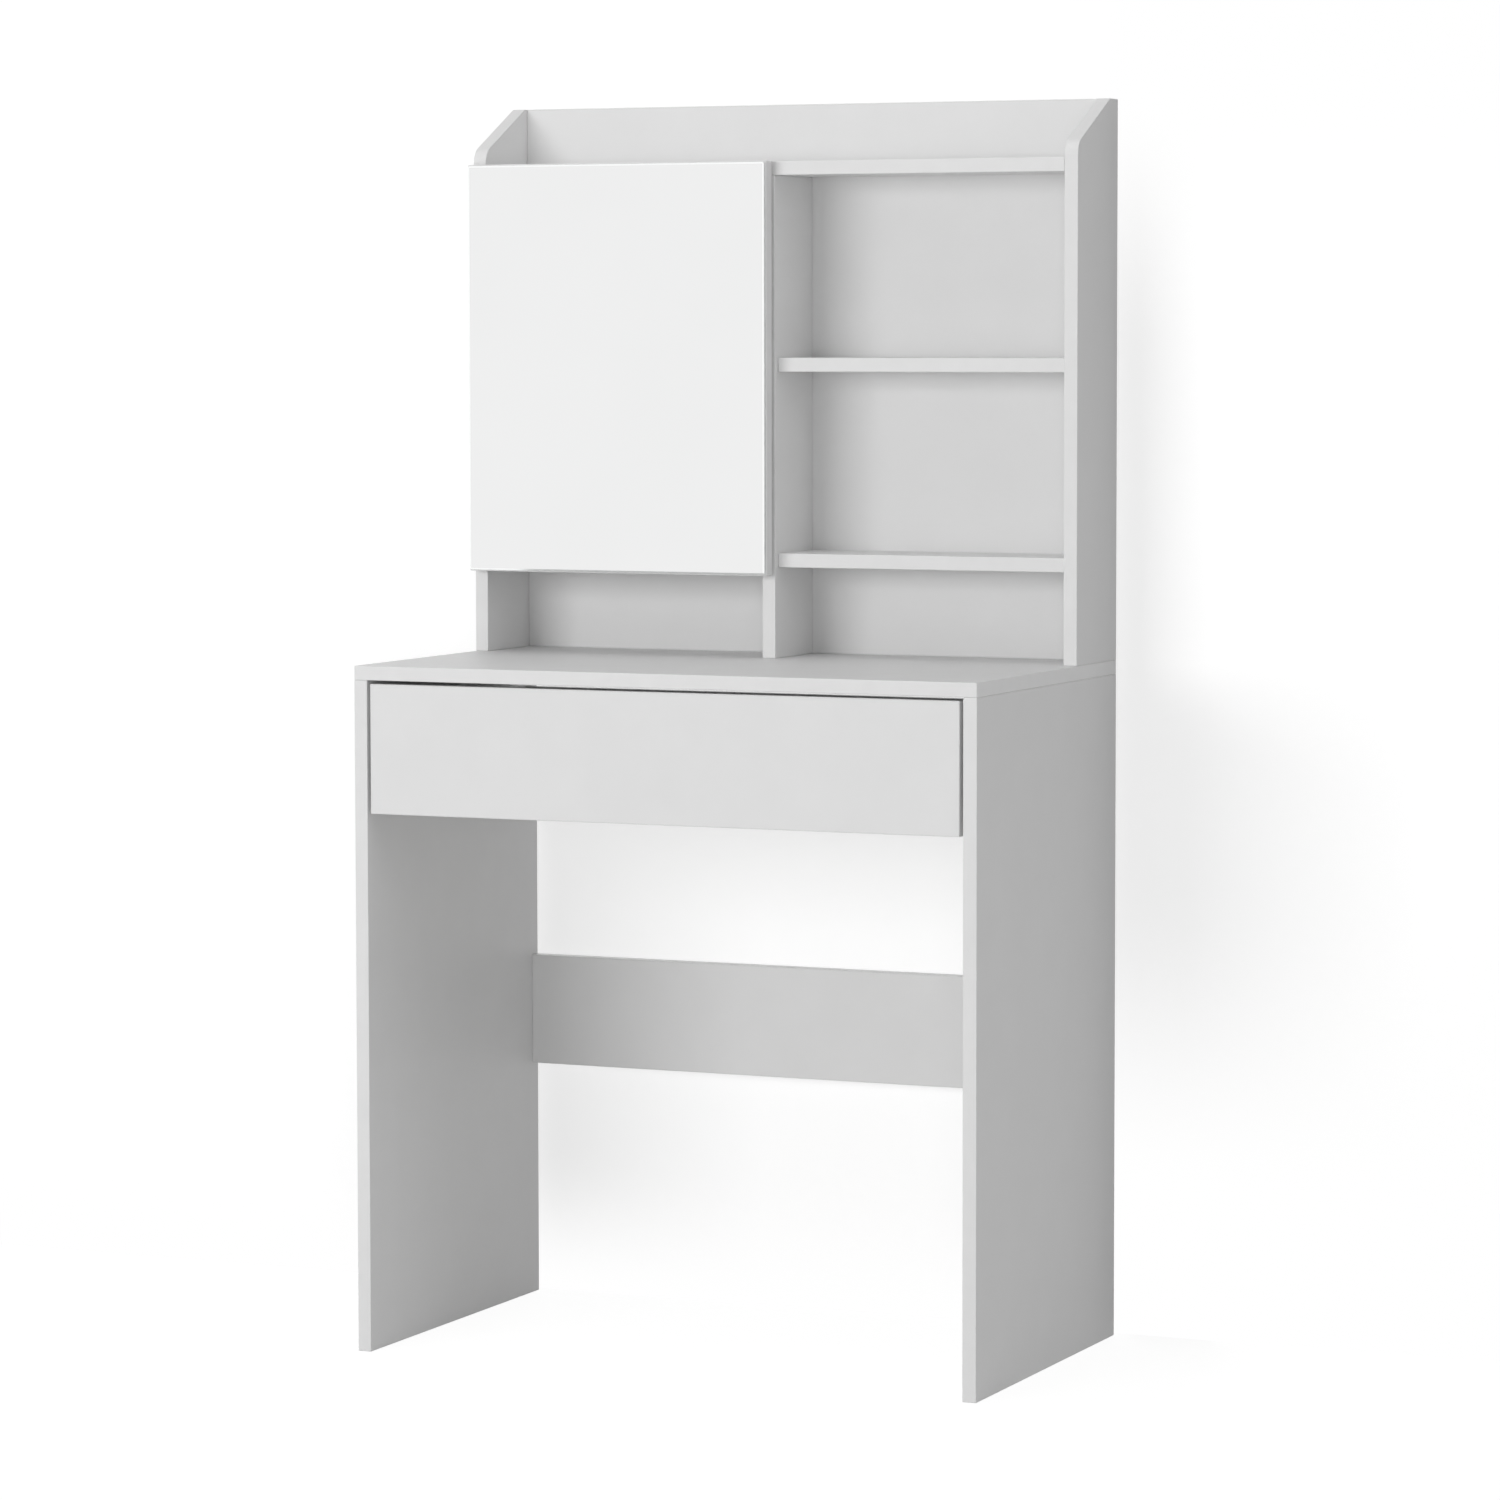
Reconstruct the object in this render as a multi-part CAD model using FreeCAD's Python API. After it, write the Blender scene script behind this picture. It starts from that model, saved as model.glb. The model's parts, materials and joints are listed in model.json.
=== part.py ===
import FreeCAD, Part
import math
import os

V = FreeCAD.Vector

# A dressing table of faced board: a desk with one drawer, and a hutch with a mirror door and open shelves.
# Sizes are in millimetres. X is the width, Y runs from the front to the back and Z is up.
# The origin is on the floor, in the middle of the desk.

# Overall sizes
WIDTH = 750.0
DEPTH = 430.0
DESK_HEIGHT = 776.0
TOTAL_HEIGHT = 1410.0
BOARD = 16.0

# Rail across the back of the knee space
RAIL_BOTTOM = 277.0
RAIL_HEIGHT = 130.0

# Hutch
HUTCH_DEPTH = 128.0
BACK_SETBACK = 4.0
GALLERY_HEIGHT = 68.0
SIDE_TOP_FLAT = 25.0
SIDE_SLANT_DROP = 53.0
SIDE_CORNER_RADIUS = 20.0
CUBBY_HEIGHT = 104.0
SHELF_SETBACK = 8.0

# Mirror door
DOOR_GAP = 4.0
DOOR_OUTER_REVEAL = 3.0
DOOR_INNER_REVEAL = 2.0
DOOR_OVERHANG = 9.0
MIRROR_THICKNESS = 3.0
MIRROR_MARGIN = 1.5
TAPE_THICKNESS = 0.5
TAPE_WIDTH = 50.0
TAPE_MARGIN = 30.0

# Concealed cup hinges of the door
HINGE_INSET = 90.0
CUP_RADIUS = 17.5
CUP_DEPTH = 11.5
CUP_WALL = 0.8
CUP_EDGE = 4.0
CUP_FLANGE = 1.2
CUP_WING_REACH = 31.0
CUP_WING_WIDTH = 20.0
CUP_WING_OFFSET = 9.5
PIVOT_IN_CUP = 4.5
PIVOT_DEPTH = 8.0
PIN_RADIUS = 1.5
EYE_RADIUS = 2.4
ARM_WIDTH = 11.0
ARM_THICKNESS = 2.5
ARM_OFFSET = 11.0
ARM_GATE = 1.0
PLATE_FROM_FRONT = 37.0
PLATE_THICKNESS = 2.0
PLATE_HEIGHT = 48.0
PLATE_WIDTH = 14.0
PLATE_BOSS_LENGTH = 30.0
PLATE_BOSS_WIDTH = 12.0

# Magnetic catch of the door
CATCH_FROM_DIVIDER = 52.0
CATCH_LENGTH = 46.0
CATCH_DEPTH = 16.0
CATCH_HEIGHT = 14.0
CATCH_RECESS = 3.0
MAGNET_LENGTH = 28.0
MAGNET_HEIGHT = 8.0
MAGNET_DEPTH = 17.0
MAGNET_GAP = 0.5
STRIKE_LENGTH = 30.0
STRIKE_HEIGHT = 12.0
STRIKE_THICKNESS = 1.2

# Drawer
DRAWER_GAP = 4.0
DRAWER_FRONT_HEIGHT = 146.0
DRAWER_BOARD = 12.0
DRAWER_SIDE_HEIGHT = 110.0
DRAWER_SIDE_LIFT = 12.0
DRAWER_LENGTH = 355.0
DRAWER_BACK_INSET = 6.0
DADO_DEPTH = 4.0
BOTTOM_THICKNESS = 3.0
BOTTOM_LIFT = 10.0
GROOVE_DEPTH = 6.0
GROOVE_PLAY = 0.2
GROOVE_ROOM = 0.5

# Roller runners of the drawer
RUNNER_SPACE = 12.5
RUNNER_LENGTH = 350.0
RUNNER_GAUGE = 1.2
RUNNER_START = 2.0
RUNNER_RISE = 14.0
RUNNER_SIDE_PLAY = 1.1
RUNNER_BEND = 1.5
ROLLER_RADIUS = 11.0
ROLLER_WIDTH = 6.0
ROLLER_PLAY = 0.3
ROLLER_STAND_OFF = 0.6
CASE_ROLLER_PROUD = 1.3
CASE_ROLLER_INSET = 17.0
DRAWER_ROLLER_INSET = 16.0
AXLE_RADIUS = 3.0
AXLE_HEAD_RADIUS = 5.0
AXLE_HEAD = 1.2

# Joinery
FIT = 0.05
CAM_RADIUS = 7.5
CAM_REACH = 34.0
CAM_FLOOR = 3.5
CAM_SLOT = (9.0, 2.0, 1.5)
BOLT_RADIUS = 3.0
BOLT_GRIP = 11.0
DOWEL_RADIUS = 4.0
DOWEL_LENGTH = 30.0
DOWEL_GRIP = 10.0
DOWEL_ROOM = 0.5
DOWEL_INSET = 24.0
RAIL_DOWEL_INSET = 33.0
DESK_FIXING_INSET = 60.0

# Places that follow from the sizes
FRONT = -DEPTH / 2
BACK = DEPTH / 2
INNER = WIDTH / 2 - BOARD
SIDE_TOP = DESK_HEIGHT - BOARD
SIDE_MIDDLE = WIDTH / 2 - BOARD / 2
HUTCH_FRONT = BACK - HUTCH_DEPTH
PANEL_FRONT = BACK - BACK_SETBACK - BOARD
TOP_SHELF_TOP = TOTAL_HEIGHT - GALLERY_HEIGHT
TOP_SHELF_BOTTOM = TOP_SHELF_TOP - BOARD
DIVIDER = BOARD / 2
LOWER_SHELF = DESK_HEIGHT + CUBBY_HEIGHT
UPPER_SHELF = (LOWER_SHELF + TOP_SHELF_BOTTOM) / 2
SHELF_FRONT = HUTCH_FRONT + SHELF_SETBACK
DOOR_BACK = HUTCH_FRONT - DOOR_GAP
DOOR_FRONT = DOOR_BACK - BOARD
DOOR_LEFT = -WIDTH / 2 + DOOR_OUTER_REVEAL
DOOR_RIGHT = DIVIDER - DOOR_INNER_REVEAL
DOOR_BOTTOM = LOWER_SHELF - DOOR_OVERHANG
DOOR_TOP = TOP_SHELF_TOP
DRAWER_FRONT_BACK = FRONT + BOARD
DRAWER_FRONT_TOP = SIDE_TOP - DRAWER_GAP
DRAWER_FRONT_BOTTOM = DRAWER_FRONT_TOP - DRAWER_FRONT_HEIGHT
DRAWER_OUTER = INNER - RUNNER_SPACE
DRAWER_INNER = DRAWER_OUTER - DRAWER_BOARD
DRAWER_SIDE_BOTTOM = DRAWER_FRONT_BOTTOM + DRAWER_SIDE_LIFT
DRAWER_SIDE_TOP = DRAWER_SIDE_BOTTOM + DRAWER_SIDE_HEIGHT
DRAWER_END = DRAWER_FRONT_BACK + DRAWER_LENGTH
GROOVE_BOTTOM = DRAWER_SIDE_BOTTOM + BOTTOM_LIFT
GROOVE_TOP = GROOVE_BOTTOM + BOTTOM_THICKNESS + GROOVE_PLAY
RUNNER_FRONT = DRAWER_FRONT_BACK + RUNNER_START
RUNNER_BACK = RUNNER_FRONT + RUNNER_LENGTH
RUNNER_AXIS = DRAWER_SIDE_BOTTOM + RUNNER_RISE
CHANNEL_HALF = ROLLER_RADIUS + ROLLER_PLAY + RUNNER_GAUGE
CASE_ROLLER_RADIUS = CHANNEL_HALF + CASE_ROLLER_PROUD
PIN_SIDE = CUP_RADIUS - PIVOT_IN_CUP + PIN_RADIUS
PIN_REACH = math.sqrt((CUP_RADIUS - CUP_WALL / 2) ** 2 - PIN_SIDE ** 2)
PIVOT = V(DOOR_LEFT + CUP_EDGE + PIVOT_IN_CUP, DOOR_BACK - PIVOT_DEPTH, 0)
SIDES = (("left", -1), ("right", 1))

blanks = {}
drillings = {}
groups = {}


def block(x, y, z):
    """Box between pairs of limits, given in either order."""
    low = V(min(x), min(y), min(z))
    high = V(max(x), max(y), max(z))
    size = high - low
    return Part.makeBox(size.x, size.y, size.z, low)


def bar(centre, along, across, through, sizes):
    """Box about a centre, with sizes along three unit directions that lie on the axes."""
    spans = [direction * amount for direction, amount in zip((along, across, through), sizes)]
    size = V(*(sum(abs(span[i]) for span in spans) for i in range(3)))
    return Part.makeBox(size.x, size.y, size.z, centre - size * 0.5)


def rod(radius, start, direction, length):
    return Part.makeCylinder(radius, length, start, direction)


def turned(steps, start, direction, bore=0.0):
    """Solid of revolution from (distance along the axis, radius) corners, with an optional bore."""
    corners = [V(bore, 0, steps[0][0])]
    corners += [V(radius, 0, distance) for distance, radius in steps]
    corners += [V(bore, 0, steps[-1][0])]
    outline = Part.makePolygon(corners + corners[:1])
    solid = Part.Face(outline).revolve(V(0, 0, 0), V(0, 0, 1), 360)
    solid.Placement = FreeCAD.Placement(start, FreeCAD.Rotation(V(0, 0, 1), direction))
    return solid


def drill(node, tool):
    drillings.setdefault(node, []).append(tool)


def add(node, solid):
    groups.setdefault(node, []).append(solid)


def inward(side, reach):
    """X at a distance in from the inner face of a desk side, where side is -1 or 1."""
    return side * (INNER - reach)


def cam_joint(holder, mate, point, into_mate, cam_side):
    """Cam lock in the holder and a bolt across the joint. The point is on the joint, at mid board."""
    centre = point - into_mate * CAM_REACH
    face = centre + cam_side * (BOARD / 2)
    depth = BOARD - CAM_FLOOR
    drill(holder, rod(CAM_RADIUS + FIT, face, -cam_side, depth + FIT))
    drill(holder, rod(BOLT_RADIUS + FIT, centre, into_mate, CAM_REACH))
    drill(mate, rod(BOLT_RADIUS + FIT, point, into_mate, BOLT_GRIP + FIT))
    across = into_mate.cross(cam_side)
    pocket_width = 2 * (BOLT_RADIUS + FIT)
    pocket_size = (CAM_RADIUS + 2 * FIT, pocket_width, pocket_width)
    pocket = bar(centre + into_mate * (CAM_RADIUS / 2), into_mate, across, cam_side, pocket_size)
    slot = bar(face, into_mate, across, cam_side, CAM_SLOT)
    add("cam_locks", rod(CAM_RADIUS, face, -cam_side, depth).cut(pocket).cut(slot))
    add("cam_bolts", rod(BOLT_RADIUS, centre, into_mate, CAM_REACH + BOLT_GRIP))


def dowel_joint(first, second, point, into_second):
    """Wooden dowel across a joint, a short way into the second board."""
    start = point - into_second * (DOWEL_LENGTH - DOWEL_GRIP)
    hole_start = start - into_second * DOWEL_ROOM
    hole = rod(DOWEL_RADIUS + FIT, hole_start, into_second, DOWEL_LENGTH + 2 * DOWEL_ROOM)
    drill(first, hole)
    drill(second, hole)
    add("dowels", rod(DOWEL_RADIUS, start, into_second, DOWEL_LENGTH))


def desk():
    """Top on two sides, with a cam at the front of each and a dowel at the back, and a dowelled rail."""
    up = V(0, 0, 1)
    blanks["desk_top"] = block((-WIDTH / 2, WIDTH / 2), (FRONT, BACK), (SIDE_TOP, DESK_HEIGHT))
    rail_height = (RAIL_BOTTOM, RAIL_BOTTOM + RAIL_HEIGHT)
    blanks["modesty_rail"] = block((-INNER, INNER), (BACK - BOARD, BACK), rail_height)
    for name, side in SIDES:
        board = "desk_side_" + name
        blanks[board] = block((side * WIDTH / 2, side * INNER), (FRONT, BACK), (0, SIDE_TOP))
        outward = V(side, 0, 0)
        cam_joint(board, "desk_top", V(side * SIDE_MIDDLE, FRONT + DESK_FIXING_INSET, SIDE_TOP), up, -outward)
        dowel_joint(board, "desk_top", V(side * SIDE_MIDDLE, BACK - DESK_FIXING_INSET, SIDE_TOP), up)
        for z in (RAIL_BOTTOM + RAIL_DOWEL_INSET, RAIL_BOTTOM + RAIL_HEIGHT - RAIL_DOWEL_INSET):
            dowel_joint("modesty_rail", board, V(side * INNER, BACK - BOARD / 2, z), outward)


def hutch_side(side):
    """Side board with its slanted top corner, rounded where the slant meets the front edge."""
    corner = V(side * INNER, HUTCH_FRONT, TOTAL_HEIGHT - SIDE_SLANT_DROP)
    outline = [
        V(side * INNER, HUTCH_FRONT, DESK_HEIGHT),
        V(side * INNER, BACK, DESK_HEIGHT),
        V(side * INNER, BACK, TOTAL_HEIGHT),
        V(side * INNER, BACK - SIDE_TOP_FLAT, TOTAL_HEIGHT),
        corner,
    ]
    board = Part.Face(Part.makePolygon(outline + outline[:1])).extrude(V(side * BOARD, 0, 0))
    middle = corner + V(side * BOARD / 2, 0, 0)
    edge = min(board.Edges, key=lambda e: e.CenterOfMass.distanceToPoint(middle))
    return board.makeFillet(SIDE_CORNER_RADIUS, [edge])


def hutch():
    """Fixed boards that stand on the desk. The sides are dowelled to it."""
    panel = (PANEL_FRONT, PANEL_FRONT + BOARD)
    depth = (HUTCH_FRONT, PANEL_FRONT)
    blanks["hutch_back_panel"] = block((-INNER, INNER), panel, (DESK_HEIGHT, TOTAL_HEIGHT))
    blanks["hutch_top_shelf"] = block((-INNER, INNER), depth, (TOP_SHELF_BOTTOM, TOP_SHELF_TOP))
    blanks["hutch_divider"] = block((-DIVIDER, DIVIDER), depth, (DESK_HEIGHT, TOP_SHELF_BOTTOM))
    for name, side in SIDES:
        board = "hutch_side_" + name
        blanks[board] = hutch_side(side)
        for y in (HUTCH_FRONT + DOWEL_INSET, BACK - DOWEL_INSET):
            dowel_joint(board, "desk_top", V(side * SIDE_MIDDLE, y, DESK_HEIGHT), V(0, 0, -1))
    shelves = (
        ("cupboard_floor", -1, LOWER_SHELF),
        ("cupboard_shelf", -1, UPPER_SHELF),
        ("shelf_right_lower", 1, LOWER_SHELF),
        ("shelf_right_upper", 1, UPPER_SHELF),
    )
    for name, side, bottom in shelves:
        bay = (side * DIVIDER, side * INNER)
        blanks[name] = block(bay, (SHELF_FRONT, PANEL_FRONT), (bottom, bottom + BOARD))


def door():
    """Mirror door: a board with the mirror bonded to its whole front by strips of tape."""
    blanks["door_panel"] = block((DOOR_LEFT, DOOR_RIGHT), (DOOR_FRONT, DOOR_BACK), (DOOR_BOTTOM, DOOR_TOP))
    mirror_back = DOOR_FRONT - TAPE_THICKNESS
    blanks["mirror_glass"] = block(
        (DOOR_LEFT + MIRROR_MARGIN, DOOR_RIGHT - MIRROR_MARGIN),
        (mirror_back - MIRROR_THICKNESS, mirror_back),
        (DOOR_BOTTOM + MIRROR_MARGIN, DOOR_TOP - MIRROR_MARGIN),
    )
    tape_height = (DOOR_BOTTOM + TAPE_MARGIN, DOOR_TOP - TAPE_MARGIN)
    middle = (DOOR_LEFT + DOOR_RIGHT) / 2
    last = (DOOR_RIGHT - DOOR_LEFT) / 2 - TAPE_MARGIN - TAPE_WIDTH / 2
    for x in (middle - last, middle, middle + last):
        strip = block((x - TAPE_WIDTH / 2, x + TAPE_WIDTH / 2), (mirror_back, DOOR_FRONT), tape_height)
        add("mirror_tape", strip)


def hinge_cup(centre, name):
    """Deep-drawn cup with two wings. Its wall seats the pin, and a gate in its rim lets the arm pass."""
    back = V(0, 1, 0)
    full_depth = CUP_DEPTH + CUP_FLANGE
    rim = centre + back * CUP_FLANGE
    cup = rod(CUP_RADIUS, rim, -back, full_depth)
    wing_middle = centre + V(CUP_WING_OFFSET, CUP_FLANGE / 2, 0)
    wings = bar(wing_middle, V(1, 0, 0), back, V(0, 0, 1), (CUP_WING_WIDTH, CUP_FLANGE, 2 * CUP_WING_REACH))
    gate_middle = centre + V(-CUP_RADIUS / 2, CUP_FLANGE / 2, 0)
    gate_size = (CUP_RADIUS, CUP_FLANGE, ARM_WIDTH + 2 * ARM_GATE)
    gate = bar(gate_middle, V(1, 0, 0), back, V(0, 0, 1), gate_size)
    hollow = rod(CUP_RADIUS - CUP_WALL, rim, -back, full_depth - CUP_WALL)
    hole_foot = V(PIVOT.x, PIVOT.y, centre.z - PIN_REACH - FIT)
    pin_hole = rod(PIN_RADIUS + FIT, hole_foot, V(0, 0, 1), 2 * (PIN_REACH + FIT))
    blanks[name] = cup.fuse(wings).removeSplitter().cut([hollow, gate, pin_hole])
    drill("door_panel", rod(CUP_RADIUS + 2 * FIT, centre, -back, CUP_DEPTH + FIT))


def hinge_arm(level, name):
    """Cranked strap: an eye on the pin, a short web in the cup, and a leg along the cupboard's side."""
    leg_end = HUTCH_FRONT + PLATE_FROM_FRONT + PLATE_BOSS_LENGTH / 2
    half = ARM_THICKNESS / 2
    low = V(PIVOT.x, PIVOT.y, level - ARM_WIDTH / 2)
    height = (low.z, low.z + ARM_WIDTH)
    eye = rod(EYE_RADIUS, low, V(0, 0, 1), ARM_WIDTH)
    web = block((PIVOT.x, PIVOT.x + ARM_OFFSET + half), (PIVOT.y - half, PIVOT.y + half), height)
    leg = block(
        (PIVOT.x + ARM_OFFSET - half, PIVOT.x + ARM_OFFSET + half), (PIVOT.y - half, leg_end), height
    )
    strap = web.fuse(leg).removeSplitter()
    heel = V(PIVOT.x + ARM_OFFSET + half, PIVOT.y - half, level)
    bend = min(strap.Edges, key=lambda e: e.CenterOfMass.distanceToPoint(heel))
    strap = strap.makeFillet(ARM_THICKNESS, [bend])
    blanks[name] = strap.fuse(eye).cut(rod(PIN_RADIUS + FIT, low, V(0, 0, 1), ARM_WIDTH))


def hinge_plate(level, name):
    """Mounting plate on the cupboard's side: a thin base with wings and a boss that carries the arm."""
    middle = HUTCH_FRONT + PLATE_FROM_FRONT
    boss_top = PIVOT.x + ARM_OFFSET - ARM_THICKNESS / 2
    base = block(
        (-INNER, -INNER + PLATE_THICKNESS),
        (middle - PLATE_WIDTH / 2, middle + PLATE_WIDTH / 2),
        (level - PLATE_HEIGHT / 2, level + PLATE_HEIGHT / 2),
    )
    boss = block(
        (-INNER, boss_top),
        (middle - PLATE_BOSS_LENGTH / 2, middle + PLATE_BOSS_LENGTH / 2),
        (level - PLATE_BOSS_WIDTH / 2, level + PLATE_BOSS_WIDTH / 2),
    )
    blanks[name] = base.fuse(boss).removeSplitter()


def hinges():
    for name, level in (("upper", DOOR_TOP - HINGE_INSET), ("lower", DOOR_BOTTOM + HINGE_INSET)):
        hinge_cup(V(DOOR_LEFT + CUP_EDGE + CUP_RADIUS, DOOR_BACK, level), "hinge_cup_" + name)
        hinge_arm(level, "hinge_arm_" + name)
        hinge_plate(level, "hinge_plate_" + name)
        pin_foot = V(PIVOT.x, PIVOT.y, level - PIN_REACH)
        blanks["hinge_pin_" + name] = rod(PIN_RADIUS, pin_foot, V(0, 0, 1), 2 * PIN_REACH)


def catch():
    """Magnetic catch under the top shelf, and its strike plate on the back of the door."""
    x = -DIVIDER - CATCH_FROM_DIVIDER
    middle = TOP_SHELF_BOTTOM - CATCH_HEIGHT / 2
    front = HUTCH_FRONT + CATCH_RECESS
    magnet_front = DOOR_BACK + STRIKE_THICKNESS + MAGNET_GAP
    magnet_x = (x - MAGNET_LENGTH / 2, x + MAGNET_LENGTH / 2)
    magnet_z = (middle - MAGNET_HEIGHT / 2, middle + MAGNET_HEIGHT / 2)
    magnet = block(magnet_x, (magnet_front, magnet_front + MAGNET_DEPTH), magnet_z)
    housing = block(
        (x - CATCH_LENGTH / 2, x + CATCH_LENGTH / 2),
        (front, front + CATCH_DEPTH),
        (TOP_SHELF_BOTTOM - CATCH_HEIGHT, TOP_SHELF_BOTTOM),
    )
    blanks["catch_magnet"] = magnet
    blanks["catch_housing"] = housing.cut(magnet)
    blanks["catch_strike"] = block(
        (x - STRIKE_LENGTH / 2, x + STRIKE_LENGTH / 2),
        (DOOR_BACK, DOOR_BACK + STRIKE_THICKNESS),
        (middle - STRIKE_HEIGHT / 2, middle + STRIKE_HEIGHT / 2),
    )


def drawer():
    """Drawer box with its bottom in grooves on four sides and its back in dados in the sides."""
    groove = (GROOVE_BOTTOM, GROOVE_TOP)
    box_height = (DRAWER_SIDE_BOTTOM, DRAWER_SIDE_TOP)
    groove_half = DRAWER_INNER + GROOVE_DEPTH
    front_width = (-INNER + DRAWER_GAP, INNER - DRAWER_GAP)
    blanks["drawer_front"] = block(
        front_width, (FRONT, DRAWER_FRONT_BACK), (DRAWER_FRONT_BOTTOM, DRAWER_FRONT_TOP)
    )
    front_groove = (DRAWER_FRONT_BACK - GROOVE_DEPTH, DRAWER_FRONT_BACK)
    drill("drawer_front", block((-groove_half, groove_half), front_groove, groove))
    back_end = DRAWER_END - DRAWER_BACK_INSET
    back_front = back_end - DRAWER_BOARD
    back_half = DRAWER_INNER + DADO_DEPTH
    blanks["drawer_back"] = block((-back_half, back_half), (back_front, back_end), box_height)
    drill("drawer_back", block((-back_half, back_half), (back_front, back_front + GROOVE_DEPTH), groove))
    bottom_half = groove_half - GROOVE_ROOM
    bottom_reach = (front_groove[0] + GROOVE_ROOM, back_front + GROOVE_DEPTH - GROOVE_ROOM)
    blanks["drawer_bottom"] = block(
        (-bottom_half, bottom_half), bottom_reach, (GROOVE_BOTTOM, GROOVE_BOTTOM + BOTTOM_THICKNESS)
    )
    for name, side in SIDES:
        board = "drawer_side_" + name
        length = (DRAWER_FRONT_BACK, DRAWER_END)
        blanks[board] = block((side * DRAWER_INNER, side * DRAWER_OUTER), length, box_height)
        drill(board, block((side * DRAWER_INNER, side * groove_half), length, groove))
        dado = (back_front - FIT, back_end + FIT)
        drill(board, block((side * DRAWER_INNER, side * (back_half + FIT)), dado, box_height))


def case_runner(side):
    """Channel on the desk side, without its flanges at the front, where its own roller stands."""
    reach = RUNNER_SPACE - RUNNER_GAUGE - RUNNER_SIDE_PLAY
    length = (RUNNER_FRONT, RUNNER_BACK)
    height = (RUNNER_AXIS - CHANNEL_HALF, RUNNER_AXIS + CHANNEL_HALF)
    outer = block((inward(side, 0), inward(side, reach)), length, height)
    at_wall = [
        edge
        for edge in outer.Edges
        if abs(edge.Length - RUNNER_LENGTH) < FIT and abs(edge.CenterOfMass.x - inward(side, 0)) < FIT
    ]
    outer = outer.makeFillet(RUNNER_BEND, at_wall)
    inner_half = CHANNEL_HALF - RUNNER_GAUGE
    inside = (inward(side, RUNNER_GAUGE), inward(side, reach))
    hollow = block(inside, length, (RUNNER_AXIS - inner_half, RUNNER_AXIS + inner_half))
    notch = block(inside, (RUNNER_FRONT, RUNNER_FRONT + 2 * CASE_ROLLER_INSET), height)
    return outer.cut(hollow).cut(notch)


def drawer_runner(side):
    """Folded strip under the drawer: a ledge below its side, a web, and a flange over the case roller."""
    length = (RUNNER_FRONT, RUNNER_BACK)
    web_x = (inward(side, RUNNER_SPACE - RUNNER_GAUGE), inward(side, RUNNER_SPACE))
    ride = RUNNER_AXIS + CASE_ROLLER_RADIUS + ROLLER_PLAY
    ledge = DRAWER_SIDE_BOTTOM - RUNNER_GAUGE
    web = block(web_x, length, (ledge, ride + RUNNER_GAUGE))
    flange_x = (inward(side, 2 * RUNNER_GAUGE), web_x[1])
    flange = block(flange_x, length, (ride, ride + RUNNER_GAUGE))
    ledge_x = (web_x[0], inward(side, RUNNER_SPACE + DRAWER_BOARD))
    strip = block(ledge_x, length, (ledge, DRAWER_SIDE_BOTTOM))
    return web.fuse([flange, strip]).removeSplitter()


def roller(radius, start, direction):
    """Nylon roller, free on its axle."""
    return turned([(0, radius), (ROLLER_WIDTH, radius)], start, direction, AXLE_RADIUS + FIT)


def axle(start, direction):
    """Rivet through the runner's web, with a head that keeps the roller on."""
    neck = RUNNER_GAUGE + ROLLER_STAND_OFF + ROLLER_WIDTH + ROLLER_PLAY
    end = neck + AXLE_HEAD
    steps = [(0, AXLE_RADIUS), (neck, AXLE_RADIUS), (neck, AXLE_HEAD_RADIUS), (end, AXLE_HEAD_RADIUS)]
    return turned(steps, start, direction)


def runners():
    roller_gap = RUNNER_GAUGE + ROLLER_STAND_OFF
    for name, side in SIDES:
        case, strip = "runner_case_" + name, "runner_drawer_" + name
        blanks[case] = case_runner(side)
        blanks[strip] = drawer_runner(side)
        to_drawer = V(-side, 0, 0)
        case_pivot = V(inward(side, 0), RUNNER_FRONT + CASE_ROLLER_INSET, RUNNER_AXIS)
        drill(case, rod(AXLE_RADIUS + FIT, case_pivot, to_drawer, RUNNER_GAUGE))
        add("case_axles", axle(case_pivot, to_drawer))
        add("case_rollers", roller(CASE_ROLLER_RADIUS, case_pivot + to_drawer * roller_gap, to_drawer))
        drawer_pivot = V(inward(side, RUNNER_SPACE), RUNNER_BACK - DRAWER_ROLLER_INSET, RUNNER_AXIS)
        drill(strip, rod(AXLE_RADIUS + FIT, drawer_pivot, -to_drawer, RUNNER_GAUGE))
        add("drawer_axles", axle(drawer_pivot, -to_drawer))
        add("drawer_rollers", roller(ROLLER_RADIUS, drawer_pivot - to_drawer * roller_gap, -to_drawer))


def export():
    os.makedirs("parts", exist_ok=True)
    for name, blank in blanks.items():
        tools = drillings.get(name, [])
        shape = blank.cut(tools) if tools else blank
        shape.exportStep("parts/%s.step" % name)
    for name, solids in groups.items():
        Part.makeCompound(solids).exportStep("parts/%s.step" % name)
    print("%d pieces in %d files" % (len(blanks) + sum(map(len, groups.values())), len(blanks) + len(groups)))


desk()
hutch()
door()
hinges()
catch()
drawer()
runners()
export()
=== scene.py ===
# %% [markdown]
# A white dressing table: a desk with one wide drawer, and on it a shallow hutch with a mirror door, open
# shelves and a low gallery. The engineering model gives every size and every joint. This lesson dresses it:
# boards get their eased and banded edges, the mirror its ground bevel, the fittings their screws, and each
# surface its finish. Everything is in metres and stays in the engineering model's own frame, so nothing has
# to be fitted by eye.

# %% Load the frame
import json
import math

import bmesh
import bpy
import numpy as np
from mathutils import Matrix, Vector
from mathutils.geometry import delaunay_2d_cdt

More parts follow.
